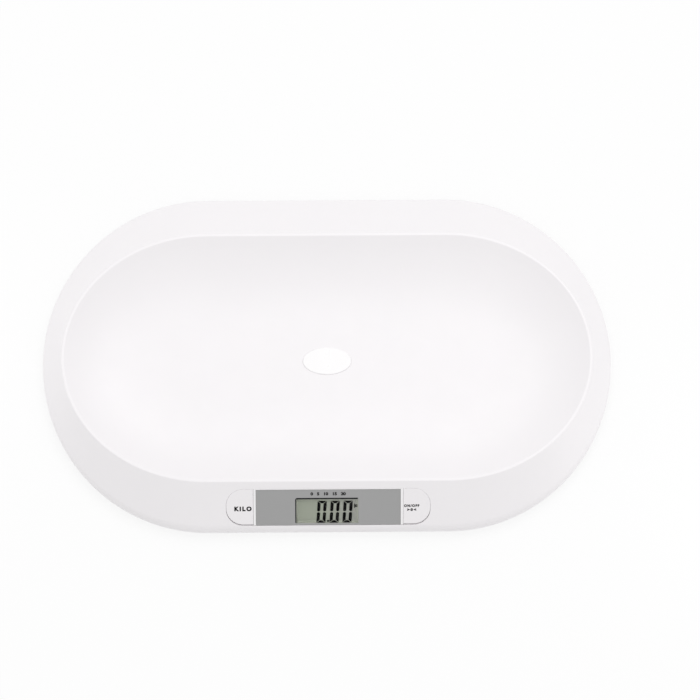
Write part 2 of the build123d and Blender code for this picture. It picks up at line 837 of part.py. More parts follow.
# ------------------------------------------------------- display, local pieces
def window(grow=0.0):
    """The display window's outline, or one grown by a margin."""
    size = (window_length + 2 * grow, window_height + 2 * grow)
    return Pos(window_offset_x, window_y) * RectangleRounded(*size, window_radius)


def lens_outline(gap=0.0):
    """The window lens reaches past the window, least at its lower edge."""
    length = window_length + 2 * lens_margin + 2 * gap
    low = window_y - window_height / 2 - lens_lower_margin - gap
    high = window_y + window_height / 2 + lens_margin + gap
    return Pos(window_offset_x, 0) * strip(length, low, high)


def strip(length, low, high):
    """A rectangle centred across the display, from one height on the slope to another."""
    return Pos(0, (low + high) / 2) * Rectangle(length, high - low)


def display_frame():
    brim_back = -wall - frame_brim_thickness
    body = slab(strip(frame_length, frame_low, frame_high), (brim_back, frame_proud))
    body = fillet(body.faces().sort_by(Axis.Z)[-1].edges(), frame_edge_radius)
    brim_reach = pill_height / 2 + frame_brim_width
    brim = strip(frame_length, panel_y - brim_reach, panel_y + brim_reach)
    body += slab(brim, (brim_back, -wall))
    inner_length = frame_length - 2 * frame_end_wall
    inner = strip(inner_length, frame_low + frame_wall, frame_high - frame_wall)
    body -= slab(inner, (brim_back - cut_past, frame_plate_bottom))
    seat_length = overlay_length + 2 * overlay_gap
    seat = strip(seat_length, frame_low - cut_past, overlay_high + overlay_gap)
    body -= slab(seat, (overlay_bottom, frame_proud + cut_past))
    body -= slab(lens_outline(overlay_gap), (lens_bottom, frame_proud))
    body -= slab(window(view_margin), (brim_back - cut_past, frame_proud))
    for x, y in board_boss_places():
        body += post(x, y, board_boss_diameter, (board_front, frame_plate_bottom))
        hole = small_screw_shank + 2 * screw_clearance
        body -= post(x, y, hole, (board_front - cut_past, board_front + board_screw_grip))
    for side in (1, -1):
        body += button_guide(side)
    return body - stakes(screw_clearance, heads=False)


def button_guide(side):
    """The arm that guides one button's stem, hung from the frame's end wall."""
    guide_bottom = guide_top - guide_thickness
    wall_out = frame_length / 2
    web = sorted((side * (wall_out - frame_end_wall), side * wall_out))
    height = (panel_y - guide_half_height, panel_y + guide_half_height)
    arm = block(web, height, (guide_bottom, -wall))
    reach = sorted((side * (wall_out - frame_end_wall), side * guide_end))
    arm += block(reach, height, (guide_bottom, guide_top))
    bore = stem_diameter + 2 * stem_clearance
    return arm - post(side * button_x, panel_y, bore, (guide_bottom - cut_past, guide_top + cut_past))


def display_overlay():
    sheet = slab(strip(overlay_length, overlay_low, overlay_high), (overlay_bottom, overlay_top))
    return sheet - slab(window(), (overlay_bottom - cut_past, overlay_top + cut_past))


def window_lens():
    return slab(lens_outline(), (lens_bottom, overlay_bottom))


def front_glass():
    x = (window_offset_x - glass_length / 2, window_offset_x + glass_length / 2)
    return block(x, (glass_low, glass_top_reach), (front_glass_bottom, front_glass_top))


def rear_glass():
    x = (window_offset_x - glass_length / 2, window_offset_x + glass_length / 2)
    high = glass_top_reach - glass_contact_ledge
    return block(x, (glass_low, high), (rear_glass_bottom, rear_glass_top))


def digit_segments(centre):
    """The six lit bars of one zero, slanted, as faces."""
    half_w = digit_width / 2
    half_h = digit_height / 2
    bar = digit_upright_stroke
    notch = digit_gap
    high_inner = half_h - digit_level_stroke
    upright = [
        (half_w - bar, notch + digit_taper),
        (half_w - bar / 2, notch),
        (half_w, notch + digit_taper),
        (half_w, half_h - notch),
        (half_w - bar, high_inner - notch),
    ]
    level = [
        (-half_w + notch, half_h),
        (half_w - notch, half_h),
        (half_w - bar - notch, high_inner),
        (-half_w + bar + notch, high_inner),
    ]
    bars = [level, [(x, -y) for x, y in level]]
    for x_sign in (1, -1):
        for y_sign in (1, -1):
            bars.append([(x_sign * x, y_sign * y) for x, y in upright])
    middle_y = digit_bottom + half_h
    faces = []
    for points in bars:
        slanted = [(centre + x + y * tan(digit_slant), middle_y + y) for x, y in points]
        faces.append(make_face(Polyline(*slanted, close=True)))
    return faces


def unit_mark():
    """The small mark beside the digits: an upright bar and a ring of strokes."""
    x, y = mark_place
    width, height = mark_size
    bar = Pos(x - width / 2, y) * Rectangle(mark_stroke, height)
    ring_height = height * mark_ring_share
    hole = Rectangle(width - 2 * mark_stroke, ring_height - 2 * mark_stroke)
    ring = Pos(x + mark_gap, y) * (Rectangle(width, ring_height) - hole)
    return [bar, ring]


def lcd_digits():
    faces = [face for centre in digit_centres for face in digit_segments(centre)]
    faces.append(Pos(*point_place) * Circle(point_diameter / 2))
    faces += unit_mark()
    return group([slab(face, (rear_glass_top, front_glass_bottom)) for face in faces])


def lcd_holder():
    """A ring that carries the glass on the board."""
    half_x = glass_length / 2
    high = glass_top_reach - glass_contact_ledge - strip_gap
    low = board_middle - board_height / 2
    outer_x = (window_offset_x - half_x, window_offset_x + half_x)
    inner_x = (outer_x[0] + holder_wall, outer_x[1] - holder_wall)
    depth = (board_front, rear_glass_bottom)
    body = block(outer_x, (low, high), depth)
    return body - block(inner_x, (low + holder_wall, high - holder_wall), (board_front - cut_past, 0))


def contact_strip():
    """The rubber strip from the glass's contact ledge to the board."""
    low = glass_top_reach - glass_contact_ledge + strip_gap
    half_x = glass_length / 2 - holder_wall
    x = (window_offset_x - half_x, window_offset_x + half_x)
    return block(x, (low, low + strip_width), (board_front, front_glass_bottom))


# -------------------------------------------------------- control board, local
def board_boss_places():
    return [(side * board_boss_x, y) for side in (1, -1) for y in board_boss_ys]


def control_board():
    half = board_height / 2
    x = (-board_length / 2, board_length / 2)
    body = block(x, (board_middle - half, board_middle + half), (board_back, board_front))
    body = fillet(body.edges().filter_by(Axis.Z), board_corner_radius)
    for x, y in board_boss_places():
        hole = small_screw_shank + 2 * screw_clearance
        body -= post(x, y, hole, (board_back - cut_past, board_front + cut_past))
    return body


def board_screws():
    screw = Rot(180, 0, 0) * pan_screw(
        small_screw_shank, small_screw_head, small_screw_head_height, small_screw_length
    )
    return group([display.location * Pos(x, y, board_back) * screw for x, y in board_boss_places()])


def chip_blob():
    """The drop of resin over the bare chip, on the back of the board."""
    x, y = blob_place
    body = post(x, y, blob_diameter, (board_back - blob_height, board_back))
    return fillet(body.faces().sort_by(Axis.Z)[0].edges(), blob_height * blob_rounding)


def board_components():
    """Amplifier chip, two capacitors and a row of resistors on the board."""
    made = [on_board_back(chip_place, chip_size)]
    for x, y in capacitor_places:
        can = post(x, y, capacitor_diameter, (board_front, board_front + capacitor_height))
        made.append(fillet(can.faces().sort_by(Axis.Z)[-1].edges(), can_edge_radius))
    for index in range(resistor_count):
        x = (index - (resistor_count - 1) / 2) * resistor_pitch
        made.append(on_board_back((x, resistor_row_y), resistor_size))
    return group([display.location * piece for piece in made])


def on_board_back(place, size):
    """A box-shaped component on the back of the board."""
    x, y = place
    long, wide, high = size
    across = (x - long / 2, x + long / 2)
    up = (y - wide / 2, y + wide / 2)
    return block(across, up, (board_back - high, board_back))


def switch_housings():
    top = board_front + switch_height
    bore = plunger_diameter + 2 * plunger_clearance
    made = []
    for side in (1, -1):
        body = square(switch_size, (side * button_x, panel_y), (board_front, top))
        body -= post(side * button_x, panel_y, bore, (top - switch_bore_depth, top + cut_past))
        made.append(display.location * body)
    return group(made)


def switch_plunger(side):
    top = board_front + switch_height
    z_range = (top - plunger_depth, top + plunger_rise)
    return display.location * post(side * button_x, panel_y, plunger_diameter, z_range)


# --------------------------------------------------------------------- buttons
def key_outline(inset=0.0):
    """Outline that both keys share, with a wider gap along its lower edge."""
    grow = -button_gap - inset
    return pill(grow) & Pos(0, button_lower_gap - button_gap) * pill(grow)


def button(side):
    """A D-shaped key at one end of the display area, with its stem."""
    inner = frame_length / 2 + button_gap
    far = pill_length
    half_plane = Pos(side * (inner + far / 2), 0) * Rectangle(far, far)
    cap = slab(key_outline() & half_plane, (flange_bottom, 0))
    cap = fillet(cap.faces().sort_by(Axis.Z)[-1].edges(), button_edge_radius)
    cap += slab(pill(button_flange) & half_plane, (flange_bottom, flange_top))
    inner_wall = Pos(side * (inner + button_rim + far / 2), 0) * Rectangle(far, far)
    cap -= slab(key_outline(button_rim) & inner_wall, (flange_bottom - cut_past, -button_skin))
    stem_end = board_front + switch_height + plunger_rise
    cap += post(side * button_x, panel_y, stem_diameter, (stem_end, -button_skin))
    return display.location * cap


# ------------------------------------------------------------- battery housing
def battery_heading(index):
    """1 where a battery's raised end points to +X, and -1 where it points to -X."""
    return 1 if index % 2 == 0 else -1


def batteries():
    can_length = battery_length - battery_nub_length
    made = []
    for index in range(battery_count):
        can = post(0, 0, battery_diameter, (0, can_length))
        can = fillet(can.edges().filter_by(GeomType.CIRCLE), can_edge_radius)
        can += post(0, 0, battery_nub_diameter, (can_length, battery_length))
        heading = battery_heading(index)
        start = -heading * (battery_length - bay_length / 2 + contact_thickness)
        made.append(Pos(start, battery_y(index), battery_axis_z) * Rot(0, heading * 90, 0) * can)
    return group(made)


def contact_plates():
    """Flat contacts at both ends of the bay; the pairs join neighbouring batteries."""
    half_x = bay_length / 2
    z_range = (battery_axis_z - contact_height / 2, battery_axis_z + contact_height / 2)
    groups = {1: ((0, 1), (2, 3)), -1: ((0, 0), (1, 2), (3, 3))}
    made = []
    for end, spans in groups.items():
        x = sorted((end * half_x, end * (half_x - contact_thickness)))
        for first, last in spans:
            low = battery_y(first) - contact_width / 2
            high = battery_y(last) + contact_width / 2
            plate = block(x, (low, high), z_range)
            if first == last:
                plate += contact_tab_piece(battery_y(first))
            made.append(plate)
    return group(made)


def contact_tab_piece(y):
    """The solder tab of an end contact, out through the bay's wall."""
    half = contact_tab_width / 2
    x = (-bay_length / 2 - bay_wall - contact_tab, -bay_length / 2 + contact_thickness)
    return block(x, (y - half, y + half), (tab_bottom, tab_bottom + contact_thickness))


def contact_springs():
    """A bent leaf behind the flat end of each battery."""
    base = spring_strip / 2
    profile = Polyline(
        (base, -spring_foot),
        (base, -spring_knee),
        (spring_length - spring_strip, 0),
        (base, spring_knee),
        (base, spring_foot),
    )
    leaf = extrude(trace(profile, spring_strip), spring_width / 2, both=True)
    leaf = Rot(90, 0, 0) * leaf
    made = []
    for index in range(battery_count):
        heading = battery_heading(index)
        turn = 0 if heading > 0 else 180
        x = -heading * (bay_length / 2 - contact_thickness)
        made.append(Pos(x, battery_y(index), battery_axis_z) * Rot(0, 0, turn) * leaf)
    return group(made)


def battery_door():
    half_x = door_length / 2
    body = block((-half_x, half_x), (door_front, door_back), (cover_bottom, door_top))
    for side in (1, -1):
        half_tab = door_tab_width / 2
        tab_x = (side * door_tab_x - half_tab, side * door_tab_x + half_tab)
        tab_y = (door_front - door_tab_reach, door_front + door_tab_root)
        body += block(tab_x, tab_y, (door_top, door_top + door_tab_thickness))
    latch_out = bay_back - door_latch_gap
    latch_y = (latch_out - door_latch_thickness, latch_out)
    latch_x = (-door_latch_width / 2, door_latch_width / 2)
    body += block(latch_x, latch_y, (door_top, door_top + door_latch_height))
    for index in range(door_groove_count):
        y = door_back - door_groove_start - index * door_groove_pitch
        groove_y = (y - door_groove_width / 2, y + door_groove_width / 2)
        groove_x = (-door_groove_length / 2, door_groove_length / 2)
        body -= block(groove_x, groove_y, (cover_bottom - cut_past, cover_bottom + door_groove_depth))
    return body


# ----------------------------------------------------------------------- leads
def board_end(x, y, diameter):
    """The last two points of a lead: on the floor, then square on the board's back."""
    end = display.from_local_coords(Vector(x, y, board_back))
    floor_z = cover_top + lead_floor_gap + diameter / 2
    run = (end.Z - floor_z) / cos(side_slope)
    foot = end - display.z_dir * run
    return [tuple(foot), tuple(end)]


def cell_lead_bends(row):
    """Where a cell lead turns on the cover, placed from the feet that it passes."""
    if row == "front":
        return [
            (foot_x - 34, -foot_y - 1.0),
            (foot_x - 72, -foot_y - 13),
            (64, -foot_y - 19),
        ]
    return [
        (foot_x - 34, foot_y - 4),
        (foot_x - 38, foot_y - 32),
        (foot_x - 39, 0),
        (foot_x - 43, 32 - foot_y),
        (foot_x - 74, -foot_y),
        (50, -foot_y - 12),
    ]


def cell_lead_route(side, row):
    """From a load cell's inner edge along the cover to the board."""
    y = foot_y if row == "back" else -foot_y
    start_x = foot_x - cell_size / 2
    cell_z = (cell_bottom + cell_top) / 2
    floor_z = cover_top + lead_floor_gap + cell_lead_diameter / 2
    places = [(start_x, y, cell_z), (start_x - cell_lead_straight, y, cell_z)]
    places += [(x, bend_y, floor_z) for x, bend_y in cell_lead_bends(row)]
    places += board_end(cell_lead_pad_xs[row], cell_lead_pad_y, cell_lead_diameter)
    return [(side * x, at_y, z) for x, at_y, z in places]


def battery_lead_route(index, bends, board_x):
    """From an end contact's tab along the cover to the board."""
    tab_x = -bay_length / 2 - bay_wall - contact_tab
    tab_z = tab_bottom + contact_thickness / 2
    floor_z = cover_top + lead_floor_gap + battery_lead_diameter / 2
    y = battery_y(index)
    places = [(tab_x, y, tab_z), (tab_x - battery_lead_straight, y, tab_z)]
    places += [(x, bend_y, floor_z) for x, bend_y in bends]
    return places + board_end(board_x, battery_lead_pad_y, battery_lead_diameter)


red_lead_bends = [(-40, -16), (-38, -58), (-26, -foot_y - 10)]
black_lead_bends = [(-44, 20), (-47, -24), (-44, -66), (-32, -foot_y - 12)]
lead_routes = {
    "cell_lead_front_left": cell_lead_route(-1, "front"),
    "cell_lead_front_right": cell_lead_route(1, "front"),
    "cell_lead_back_left": cell_lead_route(-1, "back"),
    "cell_lead_back_right": cell_lead_route(1, "back"),
    "battery_lead_red": battery_lead_route(0, red_lead_bends, -20.0),
    "battery_lead_black": battery_lead_route(3, black_lead_bends, -28.0),
}
lead_clip_runs = {
    "cell_lead_front_left": (2, 3),
    "cell_lead_front_right": (2, 3),
    "cell_lead_back_left": (3, 4, 6),
    "cell_lead_back_right": (3, 4, 6),
    "battery_lead_red": (2,),
    "battery_lead_black": (4,),
}


# ---------------------------------------------------------------------- output
def local(piece):
    """A piece drawn in the display's frame, moved to its place on the skirt."""
    return display.location * piece


nodes = {
    "top_shell": top_shell(),
    "bottom_cover": bottom_cover(),
    "centre_cap": centre_cap(),
    "cover_screws": cover_screws(),
    "bracket_screws": bracket_screws(),
    "display_frame": local(display_frame()),
    "display_overlay": local(display_overlay()),
    "window_lens": local(window_lens()),
    "lcd_front_glass": local(front_glass()),
    "lcd_rear_glass": local(rear_glass()),
    "lcd_digits": local(lcd_digits()),
    "lcd_holder": local(lcd_holder()),
    "contact_strip": local(contact_strip()),
    "control_board": local(control_board()),
    "board_screws": board_screws(),
    "chip_blob": local(chip_blob()),
    "board_components": board_components(),
    "switch_housings": switch_housings(),
    "unit_button": button(-1),
    "power_button": button(1),
    "unit_switch_plunger": switch_plunger(-1),
    "power_switch_plunger": switch_plunger(1),
    "batteries": batteries(),
    "battery_contacts": contact_plates(),
    "battery_springs": contact_springs(),
    "battery_door": battery_door(),
}
for foot_name, foot_place in foot_places.items():
    nodes["foot_cup_" + foot_name] = foot_cup(foot_place)
    nodes["foot_pad_" + foot_name] = foot_pad(foot_place)
    nodes["load_cell_" + foot_name] = load_cell(foot_place)
    nodes["cell_bracket_" + foot_name] = cell_bracket(foot_place)
for lead_name, route in lead_routes.items():
    thickness = cell_lead_diameter if "cell" in lead_name else battery_lead_diameter
    nodes[lead_name] = lead(route, thickness)
    length = lead_path(route).length
    shown = nodes[lead_name].volume / (pi * thickness**2 / 4)
    print(lead_name, "length", round(length, 1), "from its volume", round(shown, 1))

os.makedirs("parts", exist_ok=True)
for node_name, shape in nodes.items():
    export_step(shape, "parts/" + node_name + ".step")
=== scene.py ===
import json
import math

import bmesh
import bpy
from mathutils import Matrix, Quaternion, Vector


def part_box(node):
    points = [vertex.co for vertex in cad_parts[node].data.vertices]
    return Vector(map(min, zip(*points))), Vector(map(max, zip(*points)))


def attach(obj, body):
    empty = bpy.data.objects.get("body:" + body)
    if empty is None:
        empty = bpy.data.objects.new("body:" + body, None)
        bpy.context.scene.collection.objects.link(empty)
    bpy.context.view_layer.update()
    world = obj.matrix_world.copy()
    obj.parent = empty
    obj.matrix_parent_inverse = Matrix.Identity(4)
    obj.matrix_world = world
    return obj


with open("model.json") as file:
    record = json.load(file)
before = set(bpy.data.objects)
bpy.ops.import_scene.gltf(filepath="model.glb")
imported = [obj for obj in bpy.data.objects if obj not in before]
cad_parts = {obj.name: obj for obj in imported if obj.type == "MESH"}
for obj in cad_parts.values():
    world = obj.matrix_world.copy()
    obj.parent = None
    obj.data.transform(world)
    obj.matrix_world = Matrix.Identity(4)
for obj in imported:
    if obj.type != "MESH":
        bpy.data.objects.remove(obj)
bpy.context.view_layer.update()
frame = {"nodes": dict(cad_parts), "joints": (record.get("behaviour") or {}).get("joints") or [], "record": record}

MM = 0.001
PLAIN_WHITE = (1, 1, 1, 1)

# ---------------------------------------------------------------------- camera
# The view fitted to the photograph: its turn, where it looks and its scale.
CAMERA_ELEVATION = math.radians(76.44)
CAMERA_AZIMUTH = math.radians(-2.9)
CAMERA_ROLL = math.radians(2.46)
CAMERA_DISTANCE = 4.0
CAMERA_AIM = Vector((22.2, 10.8, 25.0)) * MM
PIXELS_PER_MM = 1.0347
FRAME_PIXELS = 700
SENSOR = 36.0

# ----------------------------------------------------------------------- stage
FLOOR_REACH = 6.0
FLOOR_DROP = 0.0002  # below the feet
FLOOR_COLOUR = (0.93, 0.93, 0.93)
FLOOR_ROUGHNESS = 0.9
FLOOR_GLOW_SHARE = 0.85  # how much of the floor the camera sees as plain white
WORLD_LEVEL = 0.75
LAMP_AIM = Vector((0, 0, 0.03))
# Each lamp's name, place, power in watts and size.
LAMPS = [
    ("key_lamp", (0.4, 1.1, 2.6), 24, 2.0),
    ("left_fill", (-0.46, 0.02, 0.12), 0.05, 0.2),
    ("right_fill", (0.44, -0.14, 0.12), 0.055, 0.2),
]

# --------------------------------------------------------- axes of the display
# The overlay lies flat on the skirt's slope, so its middle and the keys' axis give the
# display's own axes: across the scale, up the slope and out of the skirt.
key_axis = next(j["axis"] for j in frame["joints"] if j["name"] == "unit_key_press")
OUT = -Vector(key_axis).normalized()
ACROSS = Vector((1, 0, 0))
UP_SLOPE = OUT.cross(ACROSS).normalized()
overlay_low, overlay_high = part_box("display_overlay")
PANEL_MIDDLE = (overlay_low + overlay_high) / 2

# Heights out of the panel's middle plane and places from its middle, all in mm.
PANEL_TOP = 0.2
KEY_TOP = 0.3
WINDOW = (-31.2, -16.85, 28.8, 8.56)  # left, low, right, high
PAINTED_LIGHT_REACH = 3.5  # how far in from the window's edges the backing has painted light, paler against the recess's shade
# The dark strip along the window's top and left edges is a painted shadow, standing in for the shade the window's
# edge casts on the display.
SHADOW_THICKNESS = 0.05
SHADOW_LEFT = (-31.65, -30.55)  # outer and inner edge
SHADOW_TOP = (8.05, 9.55)  # inner and outer edge
SHADOW_LOW_END = -16.1
SHADOW_RIGHT_END = 28.4
SHADOW_RADIUS = 2.0
SHADOW_ARC_STEPS = 8
PRINT_THICKNESS = 0.02
PRINT_WELD = 0.0002
CHARACTER_HALF_DEPTH = 0.5  # in the font's own units, so that the characters are 1 thick

# Generic marks only: a unit's name, on and off, a zero between arrows and plain numbers.
# Each has its name, characters, width and height in mm, place on the display, body, and the
# font's stroke offset and letter spacing.
PRINTS = [
    ("print_units", "KILO", 16.6, 4.9, (-81.6, -1.3, KEY_TOP), "unit_key", 0.066, 1.4),
    ("print_on_off", "ON/OFF", 14.6, 2.9, (79.8, 0.9, KEY_TOP), "power_key", 0.068, 1.36),
    ("print_zero", ">0<", 8.8, 2.9, (79.8, -3.2, KEY_TOP), "power_key", 0.08, 1.5),
    (
        "print_numbers", "0   5   10   15   20", 33.8, 3.3,
        (-0.1, 13.7, PANEL_TOP), "scale_body", 0.06, 1.0,
    ),
]


def on_display(x, y, out):
    """A matrix that puts a piece on the display panel, x and y in mm from its middle."""
    turn = Matrix((ACROSS, UP_SLOPE, OUT)).transposed().to_4x4()
    place = PANEL_MIDDLE + (ACROSS * x + UP_SLOPE * y + OUT * out) * MM
    return Matrix.Translation(place) @ turn


# --------------------------------------------------------- parts of a material
NOISE_LOW, NOISE_HIGH = 0.3, 0.7  # where most of a noise's values lie
PLAIN_DETAIL, FINE_DETAIL, DRAWN_DETAIL = 3.0, 2.0, 4.0
CLOUD_SCALE = 22
GLOSS_SCALE = 60
HAZE_SCALE = 90
# The share of a surface's colour that is left in its darkest spots.
METAL_DARKEST = 0.86
CLEAR_DARKEST = 0.97
# The least and the greatest share of a surface's own roughness.
MOULDED_GLOSS = (0.9, 1.1)
METAL_GLOSS = (0.8, 1.25)
CLEAR_GLOSS = (0.8, 1.2)
# Depths of relief in metres.
DRAWN_RELIEF = 0.000004
TRACK_RELIEF = 0.00003


def new_material(name):
    """A node material with its tree and its Principled shader."""
    material = bpy.data.materials.new(name)
    material.use_nodes = True
    tree = material.node_tree
    return material, tree, tree.nodes["Principled BSDF"]


def object_place(tree):
    """The place on the piece, in its own metres."""
    return tree.nodes.new("ShaderNodeTexCoord").outputs["Object"]


def object_noise(tree, scale, detail=PLAIN_DETAIL, stretch=(1, 1, 1)):
    """A noise fixed to the piece."""
    mapping = tree.nodes.new("ShaderNodeMapping")
    mapping.inputs["Scale"].default_value = stretch
    noise = tree.nodes.new("ShaderNodeTexNoise")
    noise.inputs["Scale"].default_value = scale
    noise.inputs["Detail"].default_value = detail
    tree.links.new(object_place(tree), mapping.inputs["Vector"])
    tree.links.new(mapping.outputs["Vector"], noise.inputs["Vector"])
    return noise.outputs["Fac"]


def ramp(tree, factor, stops):
    """A colour ramp over a factor; stops are (place, colour)."""
    node = tree.nodes.new("ShaderNodeValToRGB")
    elements = node.color_ramp.elements
    while len(elements) < len(stops):
        elements.new(0.5)
    for element, (place, colour) in zip(elements, stops):
        element.position = place
        element.color = (*colour, 1.0)
    tree.links.new(factor, node.inputs["Fac"])
    return node.outputs["Color"]


def uneven_colour(tree, shader, noise, colour, darkest):
    """The base colour, which a noise darkens down to a share of it."""
    dark = [part * darkest for part in colour]
    tones = ramp(tree, noise, [(NOISE_LOW, dark), (NOISE_HIGH, colour)])
    tree.links.new(tones, shader.inputs["Base Color"])


def uneven_gloss(tree, shader, noise, low, high):
    """The roughness, which a noise moves between two values."""
    node = tree.nodes.new("ShaderNodeMapRange")
    node.inputs["From Min"].default_value = NOISE_LOW
    node.inputs["From Max"].default_value = NOISE_HIGH
    node.inputs["To Min"].default_value = low
    node.inputs["To Max"].default_value = high
    tree.links.new(noise, node.inputs["Value"])
    tree.links.new(node.outputs["Result"], shader.inputs["Roughness"])


def bump(tree, shader, factor, depth):
    """Surface relief from a factor, with its depth in metres."""
    node = tree.nodes.new("ShaderNodeBump")
    node.inputs["Strength"].default_value = 1.0
    node.inputs["Distance"].default_value = depth
    tree.links.new(factor, node.inputs["Height"])
    tree.links.new(node.outputs["Normal"], shader.inputs["Normal"])


def along(tree, direction, start, end):
    """A factor from 0 to 1 between two places in mm from the panel's middle."""
    dot = tree.nodes.new("ShaderNodeVectorMath")
    dot.operation = "DOT_PRODUCT"
    dot.inputs[1].default_value = direction
    tree.links.new(object_place(tree), dot.inputs[0])
    stretch = tree.nodes.new("ShaderNodeMapRange")
    middle = PANEL_MIDDLE.dot(direction)
    stretch.inputs["From Min"].default_value = middle + start * MM
    stretch.inputs["From Max"].default_value = middle + end * MM
    tree.links.new(dot.outputs["Value"], stretch.inputs["Value"])
    return stretch.outputs["Result"]


def combine(tree, operation, first, second):
    """Two factors joined by one operation of the maths node; the second may be a number."""
    node = tree.nodes.new("ShaderNodeMath")
    node.operation = operation
    tree.links.new(first, node.inputs[0])
    if isinstance(second, float):
        node.inputs[1].default_value = second
    else:
        tree.links.new(second, node.inputs[1])
    return node.outputs["Value"]


def seen_by(tree, *rays):
    """1 for the named kinds of ray, and 0 for the rest."""
    path = tree.nodes.new("ShaderNodeLightPath")
    seen = path.outputs[rays[0]]
    for ray in rays[1:]:
        seen = combine(tree, "MAXIMUM", seen, path.outputs[ray])
    return seen


def mixed(tree, share, first, second):
    """Two shaders mixed, with the share of the second."""
    mix = tree.nodes.new("ShaderNodeMixShader")
    tree.links.new(share, mix.inputs["Fac"])
    tree.links.new(first, mix.inputs[1])
    tree.links.new(second, mix.inputs[2])
    return mix.outputs["Shader"]


# ------------------------------------------------------------------- materials
def moulded(name, colour, shift, roughness, grain, depth, shine=0.5):
    """Moulded plastic, rubber or ink: slight clouding, uneven gloss and a fine grain."""
    material, tree, shader = new_material(name)
    uneven_colour(tree, shader, object_noise(tree, CLOUD_SCALE), colour, 1 - shift)
    low, high = [roughness * share for share in MOULDED_GLOSS]
    uneven_gloss(tree, shader, object_noise(tree, GLOSS_SCALE), low, high)
    bump(tree, shader, object_noise(tree, grain, FINE_DETAIL), depth)
    shader.inputs["Specular IOR Level"].default_value = shine
    return material


def metal(name, colour, roughness, stretch, scale):
    """Rolled or plated metal with a faint drawn grain."""
    material, tree, shader = new_material(name)
    shader.inputs["Metallic"].default_value = 1.0
    grain = object_noise(tree, scale, DRAWN_DETAIL, stretch)
    uneven_colour(tree, shader, grain, colour, METAL_DARKEST)
    low, high = [roughness * share for share in METAL_GLOSS]
    uneven_gloss(tree, shader, grain, low, high)
    bump(tree, shader, grain, DRAWN_RELIEF)
    return material


def clear(name, tint, alpha, roughness):
    """A clear sheet: faint colour, crisp gloss and hardly visible haze."""
    material, tree, shader = new_material(name)
    haze = object_noise(tree, HAZE_SCALE)
    uneven_colour(tree, shader, haze, tint, CLEAR_DARKEST)
    low, high = [roughness * share for share in CLEAR_GLOSS]
    uneven_gloss(tree, shader, haze, low, high)
    shader.inputs["Alpha"].default_value = alpha
    return material


def display_backing():
    """The reflective sheet behind the digits: greener to the left, greyer to the right.

    Close to the window's edges it has painted light: it is paler there, where the recess lets less light reach it,
    so that it looks even.
    """
    across_tones = [
        (0.0, (0.371, 0.401, 0.324)),
        (0.45, (0.372, 0.401, 0.328)),
        (1.0, (0.375, 0.38, 0.347)),
    ]
    # Painted light: a paler tone near the window's edges, where the recess shades the backing.
    painted_light_tone = (0.70, 0.74, 0.62, 1.0)
    edge_falloff = 2.0
    smudge_scale, least_rough, most_rough = 200, 0.5, 0.6
    grain_scale = 5200
    material, tree, shader = new_material("lcd_backing")
    left, low, right, high = WINDOW
    colour = ramp(tree, along(tree, ACROSS, left, right), across_tones)
    edges = along(tree, ACROSS, left + PAINTED_LIGHT_REACH, left)
    for near in (
        along(tree, ACROSS, right - PAINTED_LIGHT_REACH, right),
        along(tree, UP_SLOPE, low + PAINTED_LIGHT_REACH, low),
        along(tree, UP_SLOPE, high - PAINTED_LIGHT_REACH, high),
    ):
        edges = combine(tree, "MAXIMUM", edges, near)
    painted_light = tree.nodes.new("ShaderNodeMix")
    painted_light.data_type = "RGBA"
    painted_light.inputs["B"].default_value = painted_light_tone
    tree.links.new(combine(tree, "POWER", edges, edge_falloff), painted_light.inputs["Factor"])
    tree.links.new(colour, painted_light.inputs["A"])
    tree.links.new(painted_light.outputs["Result"], shader.inputs["Base Color"])
    uneven_gloss(tree, shader, object_noise(tree, smudge_scale), least_rough, most_rough)
    bump(tree, shader, object_noise(tree, grain_scale, FINE_DETAIL), DRAWN_RELIEF)
    return material


def circuit_laminate():
    """Green solder mask with faintly raised tracks under it."""
    material, tree, shader = new_material("circuit_laminate")
    brick = tree.nodes.new("ShaderNodeTexBrick")
    brick.inputs["Scale"].default_value = 120
    brick.inputs["Mortar Size"].default_value = 0.08
    brick.inputs["Color1"].default_value = (0.012, 0.11, 0.04, 1)
    brick.inputs["Color2"].default_value = (0.014, 0.13, 0.05, 1)
    brick.inputs["Mortar"].default_value = (0.03, 0.24, 0.09, 1)
    tree.links.new(object_place(tree), brick.inputs["Vector"])
    tree.links.new(brick.outputs["Color"], shader.inputs["Base Color"])
    bump(tree, shader, brick.outputs["Fac"], TRACK_RELIEF)
    shader.inputs["Roughness"].default_value = 0.32
    return material


def battery_sleeve():
    """A plain two-tone sleeve: dark blue bands between warm ones."""
    tones = [(0.0, (0.03, 0.07, 0.16)), (0.62, (0.03, 0.08, 0.18)), (0.7, (0.55, 0.33, 0.10))]
    smudge_scale, least_rough, most_rough = 150, 0.25, 0.35
    material, tree, shader = new_material("battery_sleeve")
    wave = tree.nodes.new("ShaderNodeTexWave")
    wave.inputs["Scale"].default_value = 7.0
    tree.links.new(object_place(tree), wave.inputs["Vector"])
    tree.links.new(ramp(tree, wave.outputs["Fac"], tones), shader.inputs["Base Color"])
    uneven_gloss(tree, shader, object_noise(tree, smudge_scale), least_rough, most_rough)
    shader.inputs["Metallic"].default_value = 0.3
    return material


WHITE = (0.921, 0.899, 0.914)
BRIGHT_WHITE = (0.957, 0.946, 0.952)
